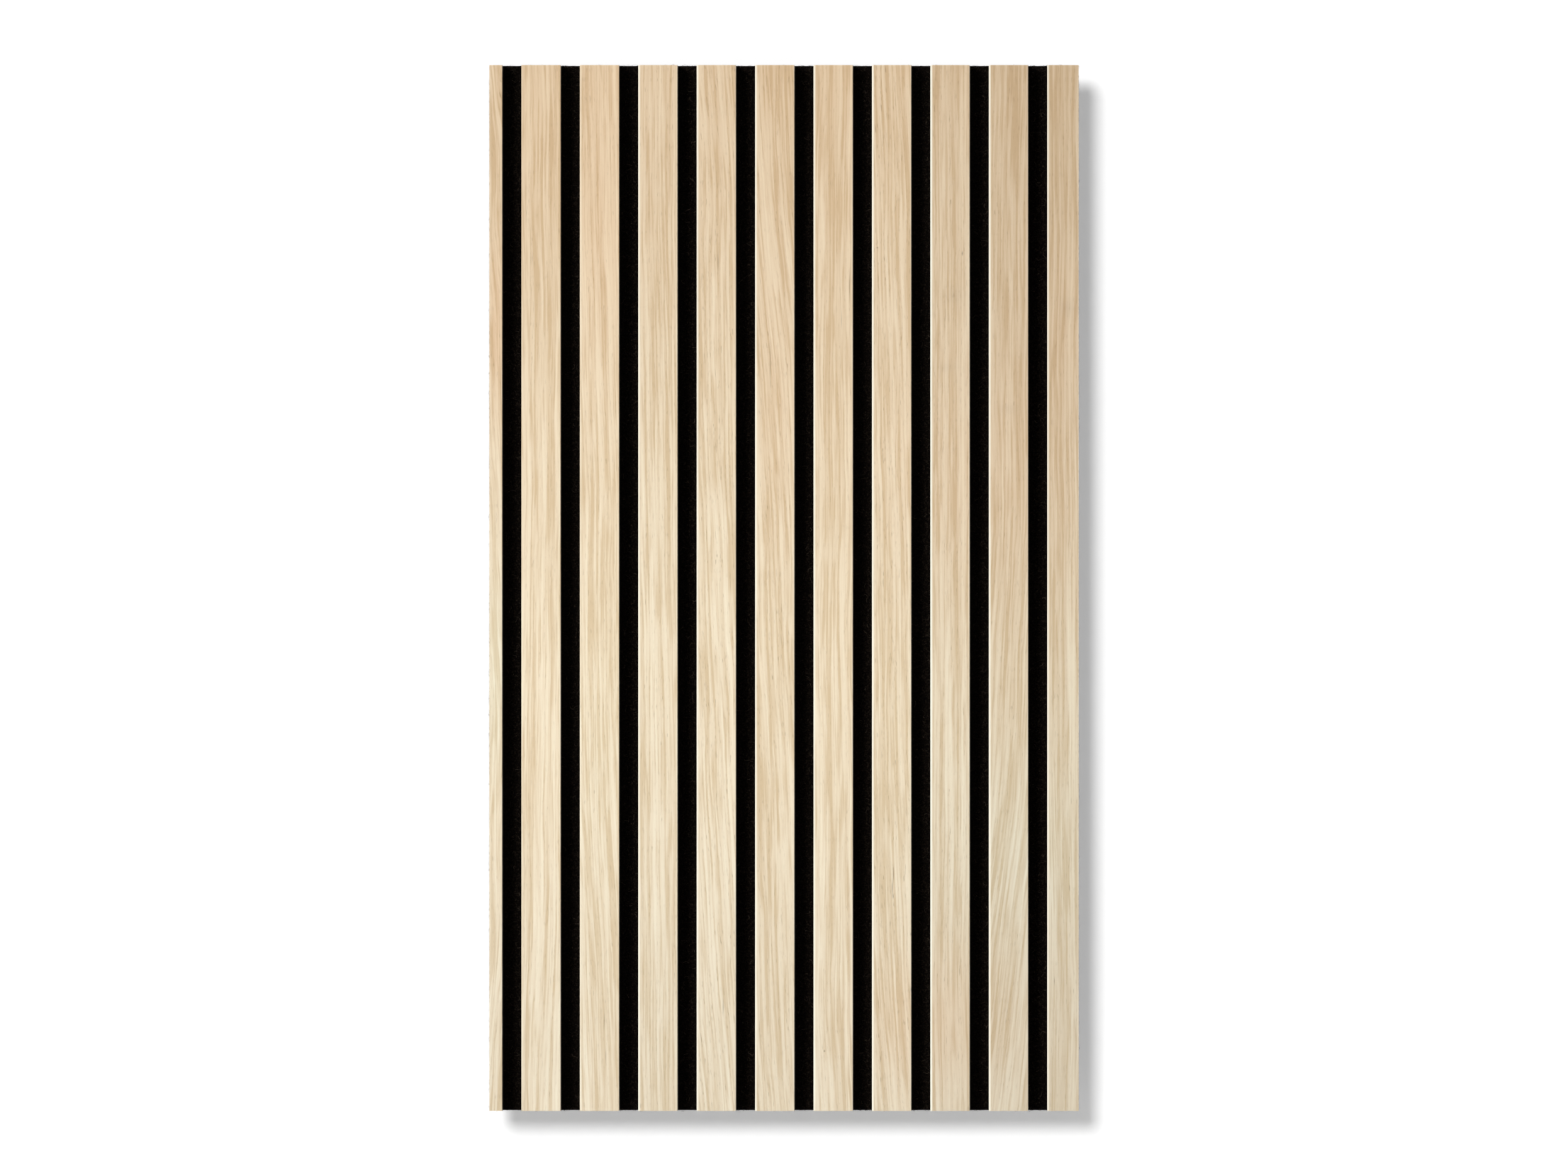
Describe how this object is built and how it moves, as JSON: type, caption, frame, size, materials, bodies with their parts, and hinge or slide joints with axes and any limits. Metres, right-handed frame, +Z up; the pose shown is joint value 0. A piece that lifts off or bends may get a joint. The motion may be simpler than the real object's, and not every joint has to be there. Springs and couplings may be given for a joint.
{
  "type": "acoustic slat wall panel",
  "caption": "Upright wall panel of evenly spaced oak-faced slats on a black felt sheet, sawn to size at both sides; fixed flat to a wall to soften sound.",
  "frame": {"origin": "centre of the felt's rear face, which goes against the wall", "axes": "+Z up along the slats, +X across the slats to the right as seen from the front, +Y back into the wall"},
  "size_m": [0.4034, 0.021, 0.716],
  "materials": {
    "oak_veneer": "pale straight-grained oak veneer, matt lacquer, its tone varying from slat to slat",
    "black_fibreboard": "through-dyed black fibreboard, sawn and dull",
    "black_felt": "needle-punched polyester felt, black with a few paler fibres",
    "staple_steel": "galvanised flat wire"
  },
  "bodies": {
    "root": {"felt_backing": "black_felt", "slat_01_core": "black_fibreboard", "slat_02_core": "black_fibreboard", "slat_03_core": "black_fibreboard", "slat_04_core": "black_fibreboard", "slat_05_core": "black_fibreboard", "slat_06_core": "black_fibreboard", "slat_07_core": "black_fibreboard", "slat_08_core": "black_fibreboard", "slat_09_core": "black_fibreboard", "slat_10_core": "black_fibreboard", "slat_11_core": "black_fibreboard", "slat_01_oak_face": "oak_veneer", "slat_02_oak_face": "oak_veneer", "slat_03_oak_face": "oak_veneer", "slat_04_oak_face": "oak_veneer", "slat_05_oak_face": "oak_veneer", "slat_06_oak_face": "oak_veneer", "slat_07_oak_face": "oak_veneer", "slat_08_oak_face": "oak_veneer", "slat_09_oak_face": "oak_veneer", "slat_10_oak_face": "oak_veneer", "slat_11_oak_face": "oak_veneer", "staples": "staple_steel"}
  },
  "joints": []
}
